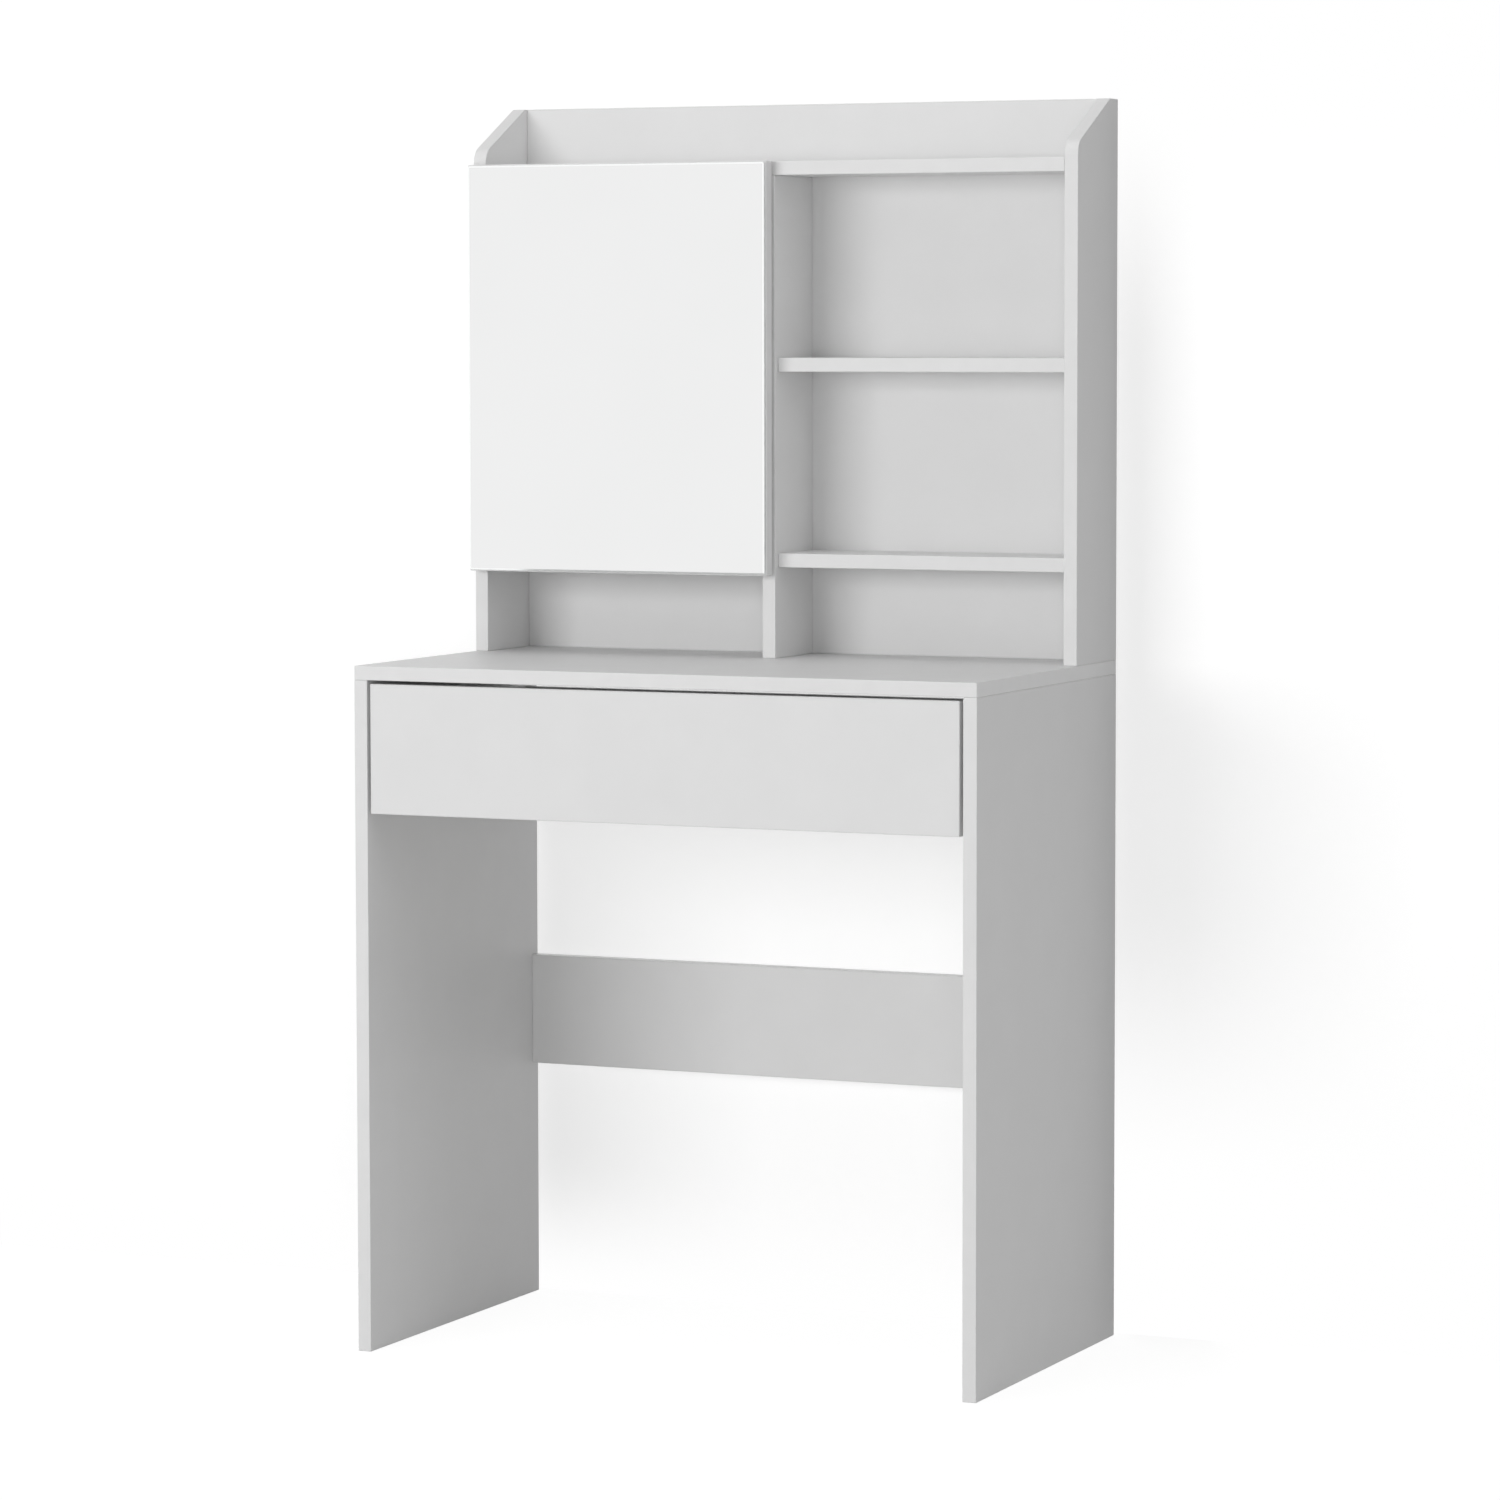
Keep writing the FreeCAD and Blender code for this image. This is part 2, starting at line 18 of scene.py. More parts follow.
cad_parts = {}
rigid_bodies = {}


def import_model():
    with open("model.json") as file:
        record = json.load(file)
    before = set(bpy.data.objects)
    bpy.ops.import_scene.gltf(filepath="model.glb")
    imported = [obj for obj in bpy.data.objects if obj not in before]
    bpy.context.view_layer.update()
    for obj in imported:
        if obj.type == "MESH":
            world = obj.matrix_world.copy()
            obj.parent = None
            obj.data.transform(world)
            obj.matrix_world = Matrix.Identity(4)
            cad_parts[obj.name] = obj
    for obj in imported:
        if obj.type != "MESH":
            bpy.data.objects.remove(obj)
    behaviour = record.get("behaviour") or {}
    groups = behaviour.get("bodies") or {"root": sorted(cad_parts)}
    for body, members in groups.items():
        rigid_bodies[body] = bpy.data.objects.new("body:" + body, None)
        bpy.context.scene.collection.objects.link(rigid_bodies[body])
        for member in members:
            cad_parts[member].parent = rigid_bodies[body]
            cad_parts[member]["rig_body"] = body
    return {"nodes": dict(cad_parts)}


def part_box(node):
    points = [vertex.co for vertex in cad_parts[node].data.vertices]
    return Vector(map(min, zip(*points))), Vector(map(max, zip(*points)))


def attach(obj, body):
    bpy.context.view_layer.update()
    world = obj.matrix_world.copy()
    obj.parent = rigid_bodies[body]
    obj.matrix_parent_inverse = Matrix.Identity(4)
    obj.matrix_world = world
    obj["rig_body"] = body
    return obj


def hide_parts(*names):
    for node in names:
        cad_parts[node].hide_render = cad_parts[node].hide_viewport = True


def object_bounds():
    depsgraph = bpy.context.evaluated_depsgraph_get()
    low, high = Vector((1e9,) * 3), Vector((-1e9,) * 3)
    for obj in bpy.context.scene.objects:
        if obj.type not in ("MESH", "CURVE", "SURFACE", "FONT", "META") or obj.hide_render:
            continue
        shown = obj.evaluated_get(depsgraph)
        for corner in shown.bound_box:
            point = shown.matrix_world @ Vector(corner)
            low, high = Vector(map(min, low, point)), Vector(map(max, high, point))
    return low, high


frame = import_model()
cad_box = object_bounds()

MM = 0.001
scene = bpy.context.scene

# %% [markdown]
# The photograph was taken from the front right, about six metres away, a little above the middle of the
# hutch. The upright edges stay almost parallel in it, as they do through a long lens that is held nearly
# level. The eye point, the angles and the lens come from fitting a camera to the straight edges of the
# boards. Most of the downward look is a tilt and only a little is lens shift, so that other views stay
# centred too.

# %% Camera
camera_data = bpy.data.cameras.new("photo_camera")
camera_data.sensor_width = 36
camera_data.lens = 129.79
camera_data.shift_y = -0.03
camera = bpy.data.objects.new("photo_camera", camera_data)
camera.location = (2.4876, -5.5611, 1.1563)
yaw, pitch, roll = np.radians((23.966, -4.020, 0.081))
camera.rotation_euler = (math.pi / 2 + pitch, roll, yaw)
scene.collection.objects.link(camera)
scene.camera = camera
print("camera at", tuple(camera.location))

# %% [markdown]
# A finish is more than a colour: faced board has a fine pearl in its surface, plated steel has drawn lines,
# hardboard has fibres. Image textures could show that, but they have one resolution and need unwrapping.
# Node patterns that read the object's own coordinates stay sharp at any distance and are in true
# millimetres, so that is the way here. The pattern is a cloudy field, which can be stretched along an axis.

# %% A finish and its pattern
def finish(name, constants):
    """Material with one Principled shader. Values that are the same all over go straight onto its sockets."""
    material = bpy.data.materials.new(name)
    material.use_nodes = True
    for socket, value in constants.items():
        shader_of(material).inputs[socket].default_value = value
    return material


def shader_of(material):
    return material.node_tree.nodes["Principled BSDF"]


def grain(material, size, stretch=(1, 1, 1), detail=2.0):
    """Cloudy field with lumps of a size in metres, longer along an axis where stretch is above 1."""
    nodes, links = material.node_tree.nodes, material.node_tree.links
    place = nodes.new("ShaderNodeTexCoord")
    mapping = nodes.new("ShaderNodeMapping")
    mapping.inputs["Scale"].default_value = [1 / (size * s) for s in stretch]
    noise = nodes.new("ShaderNodeTexNoise")
    noise.inputs["Scale"].default_value = 1
    noise.inputs["Detail"].default_value = detail
    links.new(place.outputs["Object"], mapping.inputs["Vector"])
    links.new(mapping.outputs["Vector"], noise.inputs["Vector"])
    return noise.outputs["Fac"]


# %% [markdown]
# A field can change three things: the colour, the roughness and the relief. Nearly all of a cloudy field lies
# between 0.3 and 0.7, so that span is what gets stretched between the two ends of a finish.

# %% What a pattern changes
FIELD_LOW, FIELD_HIGH = 0.3, 0.7


def shades(material, field, low, high):
    """Colour that goes from one shade to another with a field."""
    ramp = material.node_tree.nodes.new("ShaderNodeValToRGB")
    for stop, position, colour in zip(ramp.color_ramp.elements, (FIELD_LOW, FIELD_HIGH), (low, high)):
        stop.position = position
        stop.color = (*colour, 1)
    material.node_tree.links.new(field, ramp.inputs["Fac"])
    return ramp.outputs["Color"]


def tint(material, field, low, high):
    """Base colour that goes from one shade to another with a field."""
    colour = shades(material, field, low, high)
    material.node_tree.links.new(colour, shader_of(material).inputs["Base Color"])


def gloss(material, field, low, high):
    """Roughness that goes from one value to another with a field."""
    node = material.node_tree.nodes.new("ShaderNodeMapRange")
    node.inputs["From Min"].default_value = FIELD_LOW
    node.inputs["From Max"].default_value = FIELD_HIGH
    node.inputs["To Min"].default_value = low
    node.inputs["To Max"].default_value = high
    material.node_tree.links.new(field, node.inputs["Value"])
    material.node_tree.links.new(node.outputs["Result"], shader_of(material).inputs["Roughness"])


def relief(material, field, depth):
    """Bump of a real depth in metres from a field."""
    bump = material.node_tree.nodes.new("ShaderNodeBump")
    bump.inputs["Strength"].default_value = 1
    bump.inputs["Distance"].default_value = depth
    material.node_tree.links.new(field, bump.inputs["Height"])
    material.node_tree.links.new(bump.outputs["Normal"], shader_of(material).inputs["Normal"])


def grey(value):
    return (value, value, value)


# %% [markdown]
# The boards are chipboard with a white resin facing pressed on both sides. The press plate leaves a fine
# pearl, about a hundredth of a millimetre deep, which is why the surface looks satin rather than glossy. The
# edge is a plastic band, glued on and trimmed round, a touch smoother than the facing. Between the two runs a
# hairline of glue, which picks up a little dirt. All three are made as separate finishes, because a board
# shows all three side by side.

# %% Finishes of the boards
facing = finish("white_facing", {"Specular IOR Level": 0.35})
tint(facing, grain(facing, 60 * MM, detail=4), grey(0.743), grey(0.757))
gloss(facing, grain(facing, 3 * MM), 0.42, 0.52)
relief(facing, grain(facing, 0.7 * MM, detail=1), 0.010 * MM)

band = finish("white_edge_band", {"Specular IOR Level": 0.4})
tint(band, grain(band, 25 * MM), grey(0.745), grey(0.761))
gloss(band, grain(band, 2 * MM), 0.34, 0.42)
relief(band, grain(band, 0.4 * MM, detail=1), 0.004 * MM)

glue = finish("glue_line", {"Specular IOR Level": 0.3})
tint(glue, grain(glue, 8 * MM), grey(0.36), grey(0.46))
gloss(glue, grain(glue, 1 * MM), 0.55, 0.7)

white_board = (facing, band, glue)
print("board finishes:", [m.name for m in white_board])

# %% [markdown]
# Every board is the same kind of thing: a flat panel whose edge has one section all the way round. It could
# be a box with a bevel modifier, but a bevel can't lay a glue line beside the rounded edge. So the edge's
# section is carried round the outline of the panel: at each point of the outline the section stands square to
# the path. The outline has round corners, and a guard point on either side of each corner keeps the long
# straight runs evenly shaded.

# %% Outline of a panel
GUARD = 0.5 * MM
PLAN_RADIUS = 1.2 * MM


def rounded_outline(corners, radii, steps=4):
    """Closed path of straight runs and round corners, as complex numbers, and its outward normals.

    The path goes anticlockwise. A corner's arc has its centre where two lines meet that lie one radius inside
    the runs. Along the arc the normal turns evenly from the run before to the run after, and each point is
    the centre plus the radius along the normal."""
    corner = np.array([complex(*c) for c in corners])
    radius = np.broadcast_to(np.asarray(radii, float), corner.shape)[:, None]
    run = np.roll(corner, -1) - corner
    run = (run / abs(run))[:, None]
    before = np.roll(run, 1, 0)
    turn = np.angle(run / before)
    normal = -1j * before * np.exp(1j * turn * np.linspace(0, 1, steps + 1))
    centre = corner[:, None] + 1j * (before + run) / (1 + np.cos(turn)) * radius
    arc = centre + radius * normal
    path = np.concatenate([arc[:, :1] - GUARD * before, arc, arc[:, -1:] + GUARD * run], 1)
    facing_out = np.concatenate([normal[:, :1], normal, normal[:, -1:]], 1)
    return path.ravel(), facing_out.ravel()


unit_square = ((0, 0), (1, 0), (1, 1), (0, 1))
print("points round four corners:", len(rounded_outline(unit_square, PLAN_RADIUS)[0]))

# %% [markdown]
# The section of a banded edge runs from one face of the board to the other: flat facing, a groove a tenth of
# a millimetre wide for the glue line, the rounded arris of the band, the flat of the band, and the same again
# backwards. The mirror's section is simpler: a narrow bevel in front, the flat of the edge, and a small
# arris behind.

# %% Sections of an edge
EASE = 0.8 * MM
BAND = 1.0 * MM
GLUE_HALF = 0.05 * MM
GLUE_DEPTH = 0.06 * MM
FACING_SLOT, BAND_SLOT, GLUE_SLOT = 0, 1, 2


def banded_section(thickness, steps=4):
    """(inset from the outline, height) rows from the lower face to the upper face, and each strip's slot.

    The arris is a quarter circle: inset = ease (1 - cos t), height = ease sin t, for t from 0 to 90
    degrees."""
    t = np.linspace(0, math.pi / 2, steps + 1)
    half = thickness / 2
    groove = half - GLUE_DEPTH * np.array([0, 1, 0, 0])
    inset = np.concatenate([[0], EASE * (1 - np.cos(t)), BAND + GLUE_HALF * np.array([-1, 0, 1, 2])])
    height = np.concatenate([[half - EASE - GUARD], half - EASE * (1 - np.sin(t)), groove])
    inset = np.concatenate([inset[::-1], inset])
    height = np.concatenate([-height[::-1], height])
    middle = (inset[1:] + inset[:-1]) / 2
    slot = np.where(middle < BAND + GLUE_HALF, GLUE_SLOT, FACING_SLOT)
    slot = np.where(middle < BAND - GLUE_HALF, BAND_SLOT, slot)
    return inset, height, slot


def bevelled_section(thickness, width, depth, arris):
    """Rows of a bevelled edge: the bevel of the front, the flat of the edge and a 45 degree arris behind."""
    half = thickness / 2
    inset = np.array([width, 0, 0, arris])
    height = np.array([-half, depth - half, half - arris, half])
    return inset, height, np.array([BAND_SLOT] * 3)


print("rows in a banded section:", len(banded_section(16 * MM)[0]))

# %% [markdown]
# Outline and section together give rings of points, one ring for each row of the section. The same skin of
# quads serves panels, turned screw heads and cover caps alike: only the rings differ. Its two ends are closed
# by flat faces.

# %% From rings to a skin
def panel_rings(outline, section, axis, middle):
    """Point (row, place) = outline(place) moved in by inset(row) along its normal, raised by height(row)."""
    path, normal = outline
    inset, height, _ = section
    flat = path[None] - normal[None] * inset[:, None]
    rings = np.empty(flat.shape + (3,))
    rings[..., (axis + 1) % 3] = flat.real
    rings[..., (axis + 2) % 3] = flat.imag
    rings[..., axis] = middle + height[:, None]
    return rings


def skin(rings, strip_slot, closed=(True, True)):
    """Vertices, faces and slots: each point is joined to the next in its ring and to the next ring."""
    rows, points = rings.shape[:2]
    index = np.arange(rows * points).reshape(rows, points)
    after = np.roll(index, -1, 1)
    quads = np.stack([index[:-1], after[:-1], after[1:], index[1:]], -1).reshape(-1, 4)
    ends = [ring.tolist() for ring, close in zip((index[0, ::-1], index[-1]), closed) if close]
    slots = np.repeat(strip_slot, points).tolist() + [FACING_SLOT] * len(ends)
    return rings.reshape(-1, 3), quads.tolist() + ends, slots


def joined(shells):
    """Several skins as one list of vertices, faces and slots."""
    vertices, faces, slots, start = [], [], [], 0
    for shell_vertices, shell_faces, shell_slots in shells:
        vertices.append(shell_vertices)
        faces += [[start + i for i in face] for face in shell_faces]
        slots += shell_slots
        start += len(shell_vertices)
    return np.concatenate(vertices), faces, slots


# %% [markdown]
# A skin becomes a piece when it gets its finishes and the body that it moves with. Its object stays at the
# origin, and its place is in its mesh, as with the engineering nodes.

# %% From a skin to a piece
def make_piece(name, shell, finishes, body, smooth=True):
    """Mesh object of a skin, riding on a body."""
    vertices, faces, slots = shell
    mesh = bpy.data.meshes.new(name)
    mesh.from_pydata(vertices.tolist(), [], faces)
    mesh.polygons.foreach_set("material_index", slots)
    mesh.polygons.foreach_set("use_smooth", np.full(len(faces), smooth))
    for material in finishes:
        mesh.materials.append(material)
    mesh.update()
    piece = bpy.data.objects.new(name, mesh)
    scene.collection.objects.link(piece)
    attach(piece, body)
    return piece


# %% [markdown]
# The plain boards are rectangles, so their outline comes straight from the engineering model: a board's box
# gives its thickness, which is its shortest side, and its other two sides give the corners.

# %% Plain boards
def plate(node):
    """Thickness axis of a board, the four corners of its outline, its thickness and its middle plane."""
    low, high = (np.array(corner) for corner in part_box(node))
    axis = int(np.argmin(high - low))
    a, b = (axis + 1) % 3, (axis + 2) % 3
    corners = [(low[a], low[b]), (high[a], low[b]), (high[a], high[b]), (low[a], high[b])]
    return axis, corners, high[axis] - low[axis], (high[axis] + low[axis]) / 2


def lay_board(node, finishes, corners=None, radii=PLAN_RADIUS):
    """Banded board in the place of a node, with the node's own outline unless another is given."""
    axis, rectangle, thickness, middle = plate(node)
    outline = rounded_outline(corners or rectangle, radii)
    section = banded_section(thickness)
    shell = skin(panel_rings(outline, section, axis, middle), section[2])
    body = frame["nodes"][node]["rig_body"]
    board = make_piece(node + "_board", shell, finishes, body)
    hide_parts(node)


plain_boards = (
    "desk_top", "desk_side_left", "desk_side_right", "modesty_rail",
    "hutch_back_panel", "hutch_top_shelf", "hutch_divider", "cupboard_floor", "cupboard_shelf",
    "shelf_right_lower", "shelf_right_upper", "drawer_front",
)
for node in plain_boards:
    lay_board(node, white_board)
print(len(plain_boards), "plain boards")

# %% [markdown]
# The hutch's two side boards have a slanted top: from a short flat at the back the edge runs down to the
# front, where it turns into the upright front edge with a larger radius. The slant needs only a different
# outline.

# %% Hutch sides
TOP_FLAT = 25 * MM
SLANT_DROP = 53 * MM
SLANT_RADIUS = 20 * MM
for node in ("hutch_side_left", "hutch_side_right"):
    low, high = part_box(node)
    slanted = [
        (low.y, low.z), (high.y, low.z), (high.y, high.z),
        (high.y - TOP_FLAT, high.z), (low.y, high.z - SLANT_DROP),
    ]
    lay_board(node, white_board, slanted, [PLAN_RADIUS] * 4 + [SLANT_RADIUS])
print("slant falls %.0f mm over %.0f mm" % (SLANT_DROP / MM, (high.y - low.y - TOP_FLAT) / MM))

# %% [markdown]
# The drawer's box is of thinner board with a linen press, as is usual inside furniture. The linen is two sets
# of fine ribs across each other. Ribs in all three directions serve boards that lie in any plane, because
# the ribs that run square to a face don't show on it.

# %% Drawer box
WAVE_TURN = 20
WAVE_WOBBLE = 0.6


def ribs(material, pitch, directions):
    """Sum of fine sine ribs along some axes, one rib for each pitch in metres.

    A wave node turns by 20 radians for each unit of place times scale, so scale = 2 pi / (20 pitch)."""
    nodes, links = material.node_tree.nodes, material.node_tree.links
    place = nodes.new("ShaderNodeTexCoord")
    total = None
    for direction in directions:
        wave = nodes.new("ShaderNodeTexWave")
        wave.bands_direction = direction
        wave.inputs["Scale"].default_value = 2 * math.pi / (WAVE_TURN * pitch)
        wave.inputs["Distortion"].default_value = WAVE_WOBBLE
        links.new(place.outputs["Object"], wave.inputs["Vector"])
        if total is None:
            total = wave.outputs["Fac"]
            continue
        add = nodes.new("ShaderNodeMath")
        add.operation = "ADD"
        links.new(total, add.inputs[0])
        links.new(wave.outputs["Fac"], add.inputs[1])
        total = add.outputs["Value"]
    return total


linen = finish("drawer_linen_facing", {"Specular IOR Level": 0.3})
tint(linen, grain(linen, 40 * MM, detail=3), (0.725, 0.725, 0.72), (0.75, 0.75, 0.745))
gloss(linen, grain(linen, 2 * MM), 0.48, 0.58)
relief(linen, ribs(linen, 0.9 * MM, "XYZ"), 0.012 * MM)
drawer_board = (linen, band, glue)
for node in ("drawer_side_left", "drawer_side_right", "drawer_back"):
    lay_board(node, drawer_board)
print("drawer box of %.0f mm board" % (plate("drawer_back")[2] / MM))

# %% [markdown]
# The mirror door is a banded board too, but its back has two round bores for the hinge cups. A flat face with
# holes is not a grid, so the back is triangulated between the outline's last ring and the rims of the bores,
# and triangles that would close a bore are left out. The bores themselves are short tubes with a floor, made
# as rings like everything else.

# %% Bores for the hinge cups
CUP_RADIUS = 17.5 * MM
BORE_RADIUS = 17.6 * MM
BORE_DEPTH = 11.6 * MM
BORE_POINTS = 48
SAME_POINT = 1e-7


def bore_centre(cup):
    """Centre of a bore as z + x i in the plane of the door. The cup's box ends one cup radius left of it."""
    low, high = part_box(cup)
    return complex((low.z + high.z) / 2, low.x + CUP_RADIUS)


def bore_rings(centre, face):
    """Rim and foot of a bore: centre + radius e^(i angle), in the plane of the face and one depth below."""
    rim = centre + BORE_RADIUS * np.exp(-2j * math.pi * np.arange(BORE_POINTS) / BORE_POINTS)
    rings = np.empty((2, BORE_POINTS, 3))
    rings[..., 2], rings[..., 0] = rim.real, rim.imag
    rings[..., 1] = np.array([[face], [face - BORE_DEPTH]])
    return rings


def bored_face(loops, centres, face):
    """Flat face between an outline and bores: the triangles whose middle lies outside every bore."""
    edges, start = [], 0
    for loop in loops:
        along = start + np.arange(len(loop))
        edges += np.stack([along, np.roll(along, -1)], 1).tolist()
        start += len(loop)
    flat = [Vector((point[2], point[0])) for point in np.concatenate(loops)]
    points, _, triangles, *_ = delaunay_2d_cdt(flat, edges, [], 0, SAME_POINT)
    place = np.array([complex(*point) for point in points])
    kept = [t for t in triangles if min(abs(place[t].mean() - c) for c in centres) > BORE_RADIUS]
    vertices = np.stack([place.imag, np.full(len(place), face), place.real], 1)
    return vertices, kept, [FACING_SLOT] * len(kept)


print("bores %.1f mm wide" % (2 * BORE_RADIUS / MM))

# %% [markdown]
# The skins of the door meet along rings, so their doubled points are welded and the normals turned outwards.
# The triangles of the back are shaded flat, so that the rims of the bores don't bend the light on them.

# %% Door panel
WELD = 1e-6
axis, rectangle, thickness, middle = plate("door_panel")
section = banded_section(thickness)
rings = panel_rings(rounded_outline(rectangle, PLAN_RADIUS), section, axis, middle)
face = middle + thickness / 2
centres = [bore_centre(cup) for cup in ("hinge_cup_upper", "hinge_cup_lower")]
bores = [bore_rings(centre, face) for centre in centres]
shells = [
    skin(rings, section[2], closed=(True, False)),
    bored_face([rings[-1]] + [bore[0] for bore in bores], centres, face),
]
shells += [skin(bore, [FACING_SLOT], closed=(False, True)) for bore in bores]
door = make_piece("door_panel_board", joined(shells), white_board, "mirror_door")
welded = bmesh.new()
welded.from_mesh(door.data)
bmesh.ops.remove_doubles(welded, verts=welded.verts, dist=WELD)
bmesh.ops.recalc_face_normals(welded, faces=welded.faces)
for part_of_skin in welded.faces:
    part_of_skin.smooth = len(part_of_skin.verts) > 3
open_edges = sum(not edge.is_manifold for edge in welded.edges)
welded.to_mesh(door.data)
welded.free()
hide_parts("door_panel")
print("door panel with two bores, open edges:", open_edges)

# %% [markdown]
# The mirror covers the door up to a narrow margin. It is float glass with silver on its back, so what the eye
# meets is a clean reflection, a shade darker than the room. Its bevel is ground and polished, and shines as a
# thin bright line. A mirror this clean still has a faint haze, so the roughness drifts a little over the
# pane.

# %% Mirror pane
MIRROR_RADIUS = 2.4 * MM
BEVEL_WIDTH = 1.8 * MM
BEVEL_DEPTH = 0.6 * MM
ARRIS = 0.3 * MM
silver = finish("silvered_glass", {"Metallic": 1.0})
tint(silver, grain(silver, 120 * MM), (0.858, 0.860, 0.860), (0.866, 0.868, 0.868))
gloss(silver, grain(silver, 80 * MM), 0.008, 0.02)
polished = finish("polished_bevel", {"Metallic": 1.0})
tint(polished, grain(polished, 10 * MM), (0.95, 0.965, 0.96), (0.98, 0.99, 0.985))
gloss(polished, grain(polished, 1 * MM), 0.1, 0.2)
axis, rectangle, thickness, middle = plate("mirror_glass")
section = bevelled_section(thickness, BEVEL_WIDTH, BEVEL_DEPTH, ARRIS)
rings = panel_rings(rounded_outline(rectangle, MIRROR_RADIUS), section, axis, middle)
pane = skin(rings, section[2])
mirror = make_piece("mirror_pane", pane, (silver, polished), "mirror_door", smooth=False)
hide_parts("mirror_glass")
print("mirror %.0f x %.0f mm" % tuple(np.ptp(np.array(rectangle), 0) / MM))

# %% [markdown]
# The metal fittings are plated steel, cast zinc and coated steel. Metal is told apart by its roughness and by
# the marks of how it was made: drawn lines on steel strip, a coarser frost on cast zinc, an orange peel on
# powder coat.

# %% Finishes of the metal fittings
plated = finish("nickel_plate", {"Metallic": 1.0})
tint(plated, grain(plated, 12 * MM), (0.43, 0.42, 0.405), (0.52, 0.51, 0.495))
gloss(plated, grain(plated, 0.5 * MM, stretch=(1, 12, 1)), 0.22, 0.36)
relief(plated, grain(plated, 0.3 * MM, stretch=(1, 20, 1), detail=1), 0.004 * MM)

zinc = finish("cast_zinc", {"Metallic": 1.0})
tint(zinc, grain(zinc, 2 * MM), grey(0.36), grey(0.46))
gloss(zinc, grain(zinc, 0.6 * MM), 0.42, 0.6)
relief(zinc, grain(zinc, 0.5 * MM), 0.02 * MM)

coated = finish("powder_coat", {"Specular IOR Level": 0.5})
tint(coated, grain(coated, 20 * MM), grey(0.74), grey(0.77))
gloss(coated, grain(coated, 2 * MM), 0.3, 0.4)
relief(coated, grain(coated, 1.5 * MM), 0.03 * MM)
print("metal finishes:", [m.name for m in (plated, zinc, coated)])

# %% [markdown]
# The other fittings are nylon rollers with fine turning marks, a moulded catch with a ground magnet in it,
# foam tape behind the mirror and beech dowels with their grain along them. Nylon lets a little light in,
# which softens its edges.

# %% Finishes of the other fittings
LIGHT_LET_IN = {"Subsurface Weight": 0.15, "Subsurface Scale": 2 * MM}
nylon = finish("nylon_roller", {"Specular IOR Level": 0.45, **LIGHT_LET_IN})
tint(nylon, grain(nylon, 6 * MM), (0.74, 0.74, 0.71), (0.79, 0.79, 0.76))
gloss(nylon, grain(nylon, 0.4 * MM, stretch=(1, 8, 8)), 0.34, 0.46)

moulded = finish("moulded_white_plastic", {"Specular IOR Level": 0.45})
tint(moulded, grain(moulded, 10 * MM), grey(0.735), grey(0.765))
gloss(moulded, grain(moulded, 1 * MM), 0.36, 0.46)
relief(moulded, grain(moulded, 0.3 * MM, detail=1), 0.006 * MM)

ferrite = finish("ground_ferrite", {"Specular IOR Level": 0.5})
tint(ferrite, grain(ferrite, 1 * MM), grey(0.03), grey(0.055))
gloss(ferrite, grain(ferrite, 0.3 * MM, stretch=(15, 1, 1)), 0.4, 0.6)

foam = finish("foam_tape", {"Specular IOR Level": 0.2})
tint(foam, grain(foam, 0.8 * MM), grey(0.66), grey(0.8))
gloss(foam, grain(foam, 0.5 * MM), 0.7, 0.9)
relief(foam, grain(foam, 0.4 * MM), 0.08 * MM)

beech = finish("beech", {"Specular IOR Level": 0.3})
tint(beech, grain(beech, 1.2 * MM, stretch=(8, 1, 8)), (0.36, 0.23, 0.12), (0.55, 0.38, 0.22))
gloss(beech, grain(beech, 1 * MM), 0.55, 0.7)
print("finishes so far:", len(bpy.data.materials))

# %% [markdown]
# The drawer's bottom is thin hardboard: lacquered white above, and below a bare pale fibre with the print of
# the wire screen it was pressed on. One material can do both, because the two faces lie at different heights
# in the object's own coordinates: a step between them chooses the side.

# %% Drawer bottom
LACQUER_DEPTH = 0.3 * MM


def above(material, level):
    """1 above a height in the object's own coordinates, 0 below it."""
    nodes, links = material.node_tree.nodes, material.node_tree.links
    parts = nodes.new("ShaderNodeSeparateXYZ")
    links.new(nodes.new("ShaderNodeTexCoord").outputs["Object"], parts.inputs["Vector"])
    step = nodes.new("ShaderNodeMath")
    step.operation = "GREATER_THAN"
    step.inputs[1].default_value = level
    links.new(parts.outputs["Z"], step.inputs[0])
    return step.outputs["Value"]


low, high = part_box("drawer_bottom")
hardboard = finish("hardboard", {"Specular IOR Level": 0.3})
fibre = grain(hardboard, 1.5 * MM, stretch=(3, 1, 1), detail=6)
bare = shades(hardboard, fibre, (0.50, 0.49, 0.47), (0.60, 0.59, 0.57))
lacquer = shades(hardboard, grain(hardboard, 30 * MM, detail=3), grey(0.71), grey(0.74))
links = hardboard.node_tree.links
sides = hardboard.node_tree.nodes.new("ShaderNodeMix")
sides.data_type = "RGBA"
links.new(above(hardboard, high.z - LACQUER_DEPTH), sides.inputs["Factor"])
links.new(bare, sides.inputs["A"])
links.new(lacquer, sides.inputs["B"])
links.new(sides.outputs["Result"], shader_of(hardboard).inputs["Base Color"])
gloss(hardboard, fibre, 0.4, 0.6)
relief(hardboard, ribs(hardboard, 2.2 * MM, "XY"), 0.02 * MM)
print("drawer bottom %.1f mm thick" % ((high.z - low.z) / MM))

# %% [markdown]
# The fittings keep their engineering shapes, which are right as they are. Only their finish is new, so it
# goes into the material slots of those nodes.

